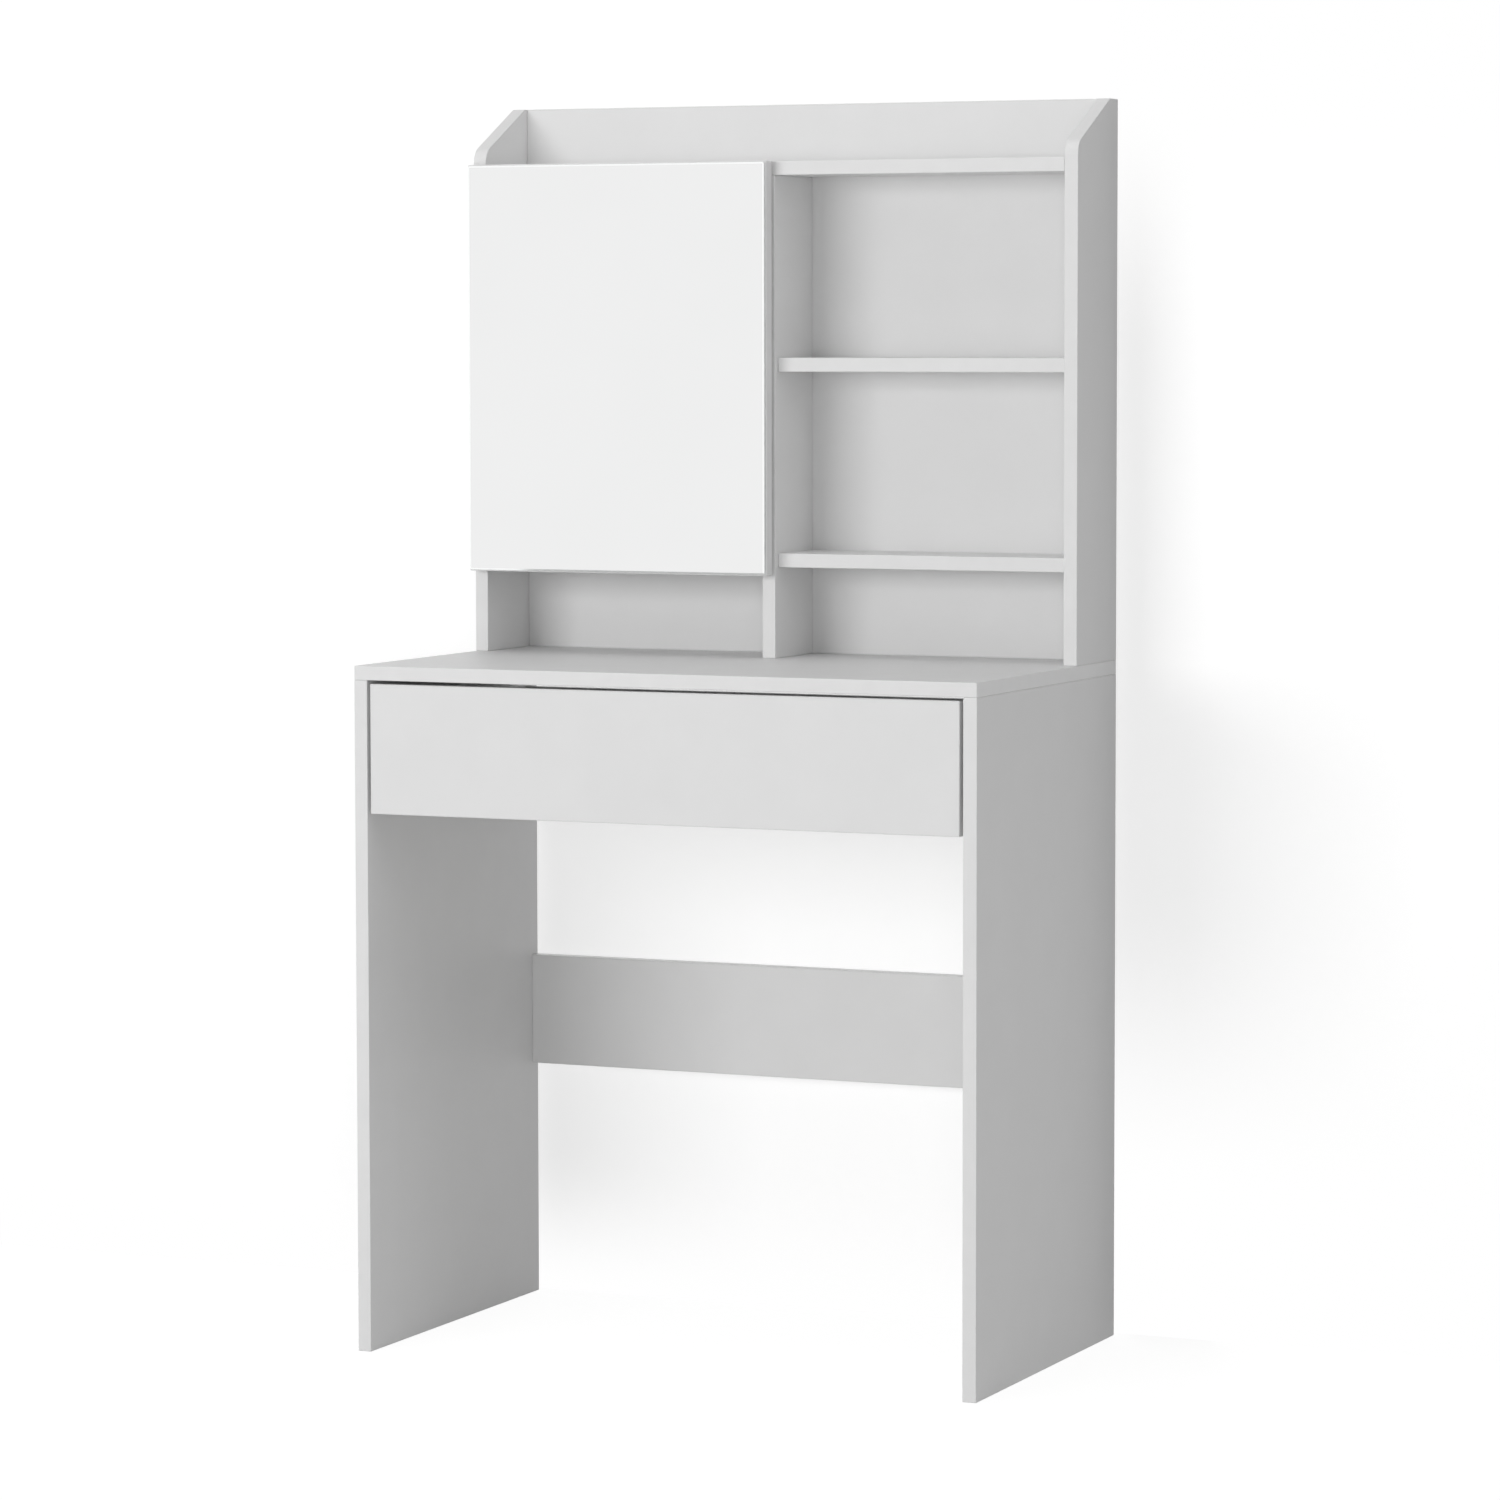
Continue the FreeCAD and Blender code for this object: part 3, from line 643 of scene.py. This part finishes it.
# %% Finishes onto the engineering nodes
LEVELS = ("upper", "lower")
SIDES = {"left": -1, "right": 1}
nodes_of_finish = (
    (hardboard, ["drawer_bottom"]),
    (foam, ["mirror_tape"]),
    (beech, ["dowels"]),
    (zinc, ["cam_locks"]),
    (moulded, ["catch_housing"]),
    (ferrite, ["catch_magnet"]),
    (nylon, ["case_rollers", "drawer_rollers"]),
    (coated, ["runner_%s_%s" % (part, side) for part in ("case", "drawer") for side in SIDES]),
    (plated, ["cam_bolts", "catch_strike", "case_axles", "drawer_axles"]),
    (plated, ["hinge_%s_%s" % (part, level) for part in ("plate", "arm", "cup", "pin") for level in LEVELS]),
)
for material, names in nodes_of_finish:
    for node in names:
        for place_in_mesh in frame["nodes"][node].material_slots:
            place_in_mesh.material = material
print(sum(len(names) for _, names in nodes_of_finish), "engineering nodes finished")

# %% [markdown]
# Screws hold the hinges, the catch and the runners. A screw head is a turned shape with a cross pressed into
# it, so it is a height over a disc: a low dome that rolls over at the rim, minus the depth of the cross. The
# disc is a polar grid, and the cross is two smooth bars that run out before the rim. One grid is copied to
# every place.

# %% Screw heads
HEAD_ANGLES, DOME_RINGS, RIM_RINGS = 40, 12, 5
FIRST_RING, RIM_START = 0.06, 0.84
DOME_DROP, RIM_FIRST_TURN = 0.3, 0.3
CROSS_DEPTH, BAR_HALF, BAR_SLOPE, BAR_END, BAR_FADE = 0.7, 0.15, 0.1, 0.62, 0.15


def polar_grid(share):
    """x and y on the unit disc, one ring for each share of its radius."""
    angle = 2 * math.pi * np.arange(HEAD_ANGLES) / HEAD_ANGLES
    return share[:, None] * np.cos(angle), share[:, None] * np.sin(angle)


def screw_head(radius, height):
    """Rings of a pan head with a cross recess, base at z = 0.

    Height at (x, y) = dome - recess. The dome is height (1 - drop (r / radius)^2) out to the start of the
    rim, which rolls down as a quarter ellipse. The recess falls from its depth to nothing across each bar and
    towards the bar's ends. Its sizes are shares of the head's radius and height."""
    rim = 1 - RIM_START
    turn = np.linspace(RIM_FIRST_TURN, math.pi / 2, RIM_RINGS)
    share = np.concatenate([np.linspace(FIRST_RING, RIM_START, DOME_RINGS), RIM_START + rim * np.sin(turn)])
    x, y = polar_grid(share)
    roll_off = np.sqrt(np.clip(1 - (np.clip(share - RIM_START, 0, None) / rim) ** 2, 0, 1))
    dome = (1 - DOME_DROP * share ** 2) * roll_off
    across = np.minimum(abs(x), abs(y))
    along = np.maximum(abs(x), abs(y))
    bar = np.clip((BAR_HALF - across) / BAR_SLOPE, 0, 1) * np.clip((BAR_END - along) / BAR_FADE, 0, 1)
    z = dome[:, None] - CROSS_DEPTH * bar
    return np.stack([x * radius, y * radius, z * height], -1)[::-1]


def placed(rings, spots, direction):
    """Skins of the same rings at several spots, with their own z along a direction."""
    turn = np.array(Vector((0, 0, 1)).rotation_difference(Vector(direction)).to_matrix())
    return [skin(rings @ turn.T + np.array(spot), [0] * (len(rings) - 1)) for spot in spots]


def drive_screws(name, spots, direction, head, body):
    """One piece of several screw heads, each with a radius and a height."""
    heads = joined(placed(screw_head(*head), spots, direction))
    make_piece(name, heads, (plated,), body)


print("rings in a screw head:", len(screw_head(1, 1)))

# %% [markdown]
# Each hinge has two screws in the wings of its cup, two in the feet of its plate and two that clamp its arm.
# The catch has one at each end, and its strike has one in the middle. The places come from the boxes of the
# engineering nodes, so the heads always sit on the metal.

# %% Hinge and catch screws
HINGE_HEAD, ARM_HEAD = (3.6 * MM, 1.5 * MM), (3.2 * MM, 1.2 * MM)
CATCH_HEAD, STRIKE_HEAD = (2.8 * MM, 1.2 * MM), (2.8 * MM, 0.3 * MM)
WING_INSET, WING_REACH = 10 * MM, 24.5 * MM
FOOT_GAUGE, FOOT_REACH = 2 * MM, 15.5 * MM
ARM_REACH, CATCH_REACH = 8 * MM, 18.5 * MM


def middle_of(node):
    """Middle of a node's box."""
    low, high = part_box(node)
    return (low + high) / 2


def pair(spot, axis, reach):
    """Two spots, one on either side of a spot along an axis."""
    shift = reach * np.eye(3)["xyz".index(axis)]
    return [np.array(spot) - shift, np.array(spot) + shift]


for level in LEVELS:
    cup_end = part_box("hinge_cup_" + level)[1]
    hinge_z = middle_of("hinge_cup_" + level).z
    wings = pair((cup_end.x - WING_INSET, cup_end.y, hinge_z), "z", WING_REACH)
    drive_screws("hinge_cup_screws_" + level, wings, (0, 1, 0), HINGE_HEAD, "mirror_door")
    foot_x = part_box("hinge_plate_" + level)[0].x + FOOT_GAUGE
    foot_y = middle_of("hinge_plate_" + level).y
    feet = pair((foot_x, foot_y, hinge_z), "z", FOOT_REACH)
    drive_screws("hinge_plate_screws_" + level, feet, (1, 0, 0), HINGE_HEAD, "carcass")
    clamps = pair((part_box("hinge_arm_" + level)[1].x, foot_y, hinge_z), "y", ARM_REACH)
    drive_screws("hinge_arm_screws_" + level, clamps, (1, 0, 0), ARM_HEAD, "carcass")
catch, strike = middle_of("catch_housing"), middle_of("catch_strike")
ears = pair((catch.x, catch.y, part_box("catch_housing")[0].z), "x", CATCH_REACH)
drive_screws("catch_screws", ears, (0, 0, -1), CATCH_HEAD, "carcass")
strike_spot = (strike.x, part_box("catch_strike")[1].y, strike.z)
drive_screws("catch_strike_screw", [strike_spot], (0, 1, 0), STRIKE_HEAD, "mirror_door")

# %% [markdown]
# The runners are screwed too: those on the desk's sides through the wall of the channel, where the heads stay
# clear of the passing roller, and those of the drawer up through their ledge. The hutch is held by screws
# from below, through the desk's top into the divider and the back panel.

# %% Runner and hutch screws
RUNNER_HEAD, HUTCH_HEAD = (3.2 * MM, 1.5 * MM), (3.6 * MM, 1.6 * MM)
CHANNEL_GAUGE = 1.2 * MM
CASE_SCREWS_Y = (-125 * MM, -20 * MM, 100 * MM)
DRAWER_SCREWS_Y = (-150 * MM, -20 * MM, 110 * MM)
DIVIDER_SCREWS_Y = (112 * MM, 168 * MM)
PANEL_SCREWS_X = (-300 * MM, -150 * MM, 150 * MM, 300 * MM)
for name, side in SIDES.items():
    outer_x = max((corner.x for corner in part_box("runner_case_" + name)), key=abs)
    channel_z = middle_of("runner_case_" + name).z
    spots = [(outer_x - side * CHANNEL_GAUGE, y, channel_z) for y in CASE_SCREWS_Y]
    drive_screws("runner_case_screws_" + name, spots, (-side, 0, 0), RUNNER_HEAD, "carcass")
    ledge_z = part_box("runner_drawer_" + name)[0].z
    spots = [(middle_of("drawer_side_" + name).x, y, ledge_z) for y in DRAWER_SCREWS_Y]
    drive_screws("runner_drawer_screws_" + name, spots, (0, 0, -1), RUNNER_HEAD, "drawer")
under_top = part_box("desk_top")[0].z
spots = [(0, y, under_top) for y in DIVIDER_SCREWS_Y]
spots += [(x, middle_of("hutch_back_panel").y, under_top) for x in PANEL_SCREWS_X]
drive_screws("hutch_screws", spots, (0, 0, -1), HUTCH_HEAD, "carcass")

# %% [markdown]
# White caps cover the two cams in the desk's sides. A cap is a pressed disc, flat in the middle and round at
# the rim, so it is one more height over a polar grid.

# %% Cam caps
CAP_RADIUS, CAP_HEIGHT = 9 * MM, 1.3 * MM
CAP_RINGS, CAP_FIRST_TURN = 10, 0.05


def cover_cap(radius, height):
    """Rings of a shallow cap: height times the square root of 1 - (r / radius)^4."""
    share = np.sin(np.linspace(CAP_FIRST_TURN, math.pi / 2, CAP_RINGS))
    x, y = polar_grid(share)
    z = np.broadcast_to(np.sqrt(1 - share ** 4)[:, None], x.shape)
    return np.stack([x * radius, y * radius, z * height], -1)[::-1]


cam = middle_of("cam_locks")
caps = []
for name, side in SIDES.items():
    inner_x = min((corner.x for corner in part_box("desk_side_" + name)), key=abs)
    caps += placed(cover_cap(CAP_RADIUS, CAP_HEIGHT), [(inner_x, cam.y, cam.z)], (-side, 0, 0))
make_piece("cam_cover_caps", joined(caps), (moulded,), "carcass")
print(len(caps), "cam caps")

# %% [markdown]
# The stage is plain: a white floor, and a white wall just behind the table that takes its soft shadow. Both
# are planes with a material of their own, which isn't part of the table.

# %% Planes of the stage
def stage_plane(name, corners):
    mesh = bpy.data.meshes.new(name)
    mesh.from_pydata(corners, [], [(0, 1, 2, 3)])
    plane = bpy.data.objects.new(name, mesh)
    scene.collection.objects.link(plane)
    return plane


def stage_nodes(plane):
    """Empty node tree of a new material on a plane: its nodes, its links and its output node."""
    material = bpy.data.materials.new(plane.name)
    material.use_nodes = True
    plane.data.materials.append(material)
    nodes = material.node_tree.nodes
    nodes.clear()
    return nodes, material.node_tree.links, nodes.new("ShaderNodeOutputMaterial")


# %% [markdown]
# Floor and wall glow by a share of their own and are lit for the rest, so that shadows still show on them.
# Away from the table both turn to plain white paper, so that no horizon shows. Small helpers keep the two
# materials short.

# %% Shaders of the stage
def diffuse(nodes, shade):
    node = nodes.new("ShaderNodeBsdfDiffuse")
    node.inputs["Color"].default_value = (*grey(shade), 1)
    return node.outputs["BSDF"]


def glow(nodes, shade):
    node = nodes.new("ShaderNodeEmission")
    node.inputs["Color"].default_value = (*grey(shade), 1)
    return node.outputs["Emission"]


def lit_white(nodes, links, glow_share, lit_share):
    """Paper that glows by one share and is lit by another."""
    both = nodes.new("ShaderNodeAddShader")
    links.new(glow(nodes, glow_share), both.inputs[0])
    links.new(diffuse(nodes, lit_share), both.inputs[1])
    return both.outputs["Shader"]


def choose(nodes, links, factor, first, second):
    """The first shader where the factor is 0, the second where it is 1."""
    mix = nodes.new("ShaderNodeMixShader")
    links.new(factor, mix.inputs["Fac"])
    links.new(first, mix.inputs[1])
    links.new(second, mix.inputs[2])
    return mix.outputs["Shader"]


# %% [markdown]
# Where one shader goes over into another is a number for each point or ray: a height, a distance, or the kind
# of ray that arrives.

# %% Numbers of the stage
def combine(nodes, links, operation, first, second):
    """Two numbers put together by one sum, kept between 0 and 1."""
    node = nodes.new("ShaderNodeMath")
    node.operation = operation
    node.use_clamp = True
    links.new(first, node.inputs[0])
    links.new(second, node.inputs[1])
    return node.outputs["Value"]


def smooth_step(nodes, links, value, start, end):
    """0 at the start and before it, 1 at the end and after it, and smooth between them."""
    node = nodes.new("ShaderNodeMapRange")
    node.interpolation_type = "SMOOTHSTEP"
    node.inputs["From Min"].default_value = start
    node.inputs["From Max"].default_value = end
    links.new(value, node.inputs["Value"])
    return node.outputs["Result"]


def away_from(nodes, links, centre, near, far):
    """0 within one distance of a centre, 1 beyond another."""
    place = nodes.new("ShaderNodeTexCoord")
    distance = nodes.new("ShaderNodeVectorMath")
    distance.operation = "DISTANCE"
    distance.inputs[1].default_value = centre
    links.new(place.outputs["Object"], distance.inputs[0])
    return smooth_step(nodes, links, distance.outputs["Value"], near, far)


def seen_directly(nodes, links):
    """1 for rays that show a background: from the camera, off gloss and through glass."""
    path = nodes.new("ShaderNodeLightPath").outputs
    seen = combine(nodes, links, "MAXIMUM", path["Is Camera Ray"], path["Is Glossy Ray"])
    return combine(nodes, links, "MAXIMUM", seen, path["Is Transmission Ray"])


# %% [markdown]
# The floor is white to whatever looks at it, and a plain pale grey to the light that bounces off it.

# %% Floor
FLOOR_HALF = 12.0
FLOOR_GLOW, FLOOR_LIT, FLOOR_GREY = 0.92, 0.14, 0.7
FLOOR_NEAR, FLOOR_FAR = 0.9, 2.4
floor_corners = [(x * FLOOR_HALF, y * FLOOR_HALF, 0) for x, y in ((-1, -1), (1, -1), (1, 1), (-1, 1))]
nodes, links, output = stage_nodes(stage_plane("floor", floor_corners))
far = away_from(nodes, links, (0, 0, 0), FLOOR_NEAR, FLOOR_FAR)
shown = choose(nodes, links, far, lit_white(nodes, links, FLOOR_GLOW, FLOOR_LIT), glow(nodes, 1.0))
surface = choose(nodes, links, seen_directly(nodes, links), diffuse(nodes, FLOOR_GREY), shown)
links.new(surface, output.inputs["Surface"])
print("floor %.0f m wide" % (2 * FLOOR_HALF))

# %% [markdown]
# The wall is there only for a camera in front of it. From behind, and for every other ray, it is clear, so it
# never hides the table's back or blocks the light on it. Towards the floor its shadow fades out, and on the
# right, where the table no longer hides it, it does so higher up and towards the top as well.

# %% Wall
WALL_Y, WALL_HALF, WALL_TOP = 0.228, 6.0, 5.0
WALL_GLOW, WALL_LIT = 0.56, 0.52
WALL_CENTRE, WALL_NEAR, WALL_FAR = (0, WALL_Y, 0.7), 1.1, 2.0
FADE_UNDER, FADE_RIGHT, FADE_TOP = (0.0, 0.18), (0.17, 0.54), (1.42, 1.10)
SIDE_BLEND = 0.15
wall_corners = [(-WALL_HALF, 0), (WALL_HALF, 0), (WALL_HALF, WALL_TOP), (-WALL_HALF, WALL_TOP)]
nodes, links, output = stage_nodes(stage_plane("wall", [(x, WALL_Y, z) for x, z in wall_corners]))
parts = nodes.new("ShaderNodeSeparateXYZ")
links.new(nodes.new("ShaderNodeTexCoord").outputs["Object"], parts.inputs["Vector"])
across, height = parts.outputs["X"], parts.outputs["Z"]
shade_under = smooth_step(nodes, links, height, *FADE_UNDER)
low_end, high_end = (smooth_step(nodes, links, height, *fade) for fade in (FADE_RIGHT, FADE_TOP))
shade_right = combine(nodes, links, "MULTIPLY", low_end, high_end)
beside = smooth_step(nodes, links, across, cad_box[1].x - SIDE_BLEND, cad_box[1].x)
shaded, paper = lit_white(nodes, links, WALL_GLOW, WALL_LIT), glow(nodes, 1.0)
under = choose(nodes, links, shade_under, paper, shaded)
right = choose(nodes, links, shade_right, paper, shaded)
far = away_from(nodes, links, WALL_CENTRE, WALL_NEAR, WALL_FAR)
shown = choose(nodes, links, far, choose(nodes, links, beside, under, right), paper)
clear = nodes.new("ShaderNodeBsdfTransparent").outputs["BSDF"]
is_camera = nodes.new("ShaderNodeLightPath").outputs["Is Camera Ray"]
is_behind = nodes.new("ShaderNodeNewGeometry").outputs["Backfacing"]
in_front = combine(nodes, links, "SUBTRACT", is_camera, is_behind)
links.new(choose(nodes, links, in_front, clear, shown), output.inputs["Surface"])
print("wall %.0f mm behind the table" % ((WALL_Y - cad_box[1].y) / MM))

# %% [markdown]
# Close to the wall the photographed sides grow darker, because a wall in shade stands where light would come
# from behind. The wall here is clear to light, so black cards just behind it do that, as a photographer would
# set them up. No camera and no reflection shows them. One stands beside each side of the desk, and a narrower
# one beside each side of the hutch.

# %% Shade cards
CARD_Y = WALL_Y + 4 * MM
CARD_GAP = 12 * MM
DESK_CARD, HUTCH_CARD = 100 * MM, 55 * MM


def shade_card(name, near, far, foot, head):
    """Upright black card between two places across the wall and two heights, which only takes light away."""
    corners = ((near, foot), (far, foot), (far, head), (near, head))
    card = stage_plane(name, [(x, CARD_Y, z) for x, z in corners])
    nodes, links, output = stage_nodes(card)
    links.new(diffuse(nodes, 0.0), output.inputs["Surface"])
    card.visible_camera = False
    card.visible_glossy = False


start = cad_box[1].x + CARD_GAP
desk_level, top_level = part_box("desk_top")[1].z, cad_box[1].z
for name, side in SIDES.items():
    shade_card("desk_card_" + name, side * start, side * (start + DESK_CARD), 0, desk_level)
    shade_card("hutch_card_" + name, side * start, side * (start + HUTCH_CARD), desk_level, top_level)
print("cards beside the desk and the hutch, %.0f mm behind the wall" % ((CARD_Y - WALL_Y) / MM))

# %% [markdown]
# The world adds an even share of light to everything, and stands white behind the table and in the mirror.

# %% World
EVEN_LIGHT, SEEN_WHITE = 0.33, 1.0


def background(nodes, strength):
    node = nodes.new("ShaderNodeBackground")
    node.inputs["Color"].default_value = (1, 1, 1, 1)
    node.inputs["Strength"].default_value = strength
    return node.outputs["Background"]


world = bpy.data.worlds.new("studio")
scene.world = world
world.use_nodes = True
nodes, links = world.node_tree.nodes, world.node_tree.links
nodes.clear()
even, white = background(nodes, EVEN_LIGHT), background(nodes, SEEN_WHITE)
sky = choose(nodes, links, seen_directly(nodes, links), even, white)
links.new(sky, nodes.new("ShaderNodeOutputWorld").inputs["Surface"])
print("even light of", EVEN_LIGHT)

# %% [markdown]
# The light in the photograph comes from a large soft window to the front left, a little above the table:
# fronts are the brightest, the left corners of the bays are in shade, and the shadow falls to the right.
# Weaker lamps fill the front, the outer side, the tops and the back.

# %% Lamps
def soft_lamp(name, place, aim, width, height, watts):
    """Soft lamp with a rectangular face, kept out of the picture and out of the mirror."""
    data = bpy.data.lights.new(name, "AREA")
    data.shape = "RECTANGLE"
    data.size = width
    data.size_y = height
    data.energy = watts
    lamp = bpy.data.objects.new(name, data)
    lamp.location = place
    lamp.rotation_euler = (Vector(aim) - Vector(place)).to_track_quat("-Z", "Y").to_euler()
    lamp.visible_camera = False
    lamp.visible_glossy = False
    scene.collection.objects.link(lamp)


soft_lamp("window", (-1.92, -5.08, 1.62), (0, 0, 0.75), 2.8, 1.6, 122)
soft_lamp("front_fill", (2.06, -5.10, 0.85), (0, 0, 0.75), 1.4, 1.4, 36)
soft_lamp("side_fill", (5.33, -0.94, 1.71), (0.3, 0, 0.75), 1.6, 1.6, 26)
soft_lamp("overhead", (0.0, -0.6, 3.6), (0, 0, 0.9), 2.0, 2.0, 19)
soft_lamp("back_fill", (-1.2, 3.4, 1.6), (0, 0.2, 0.8), 2.0, 2.0, 46)
scene.view_settings.view_transform = "Standard"
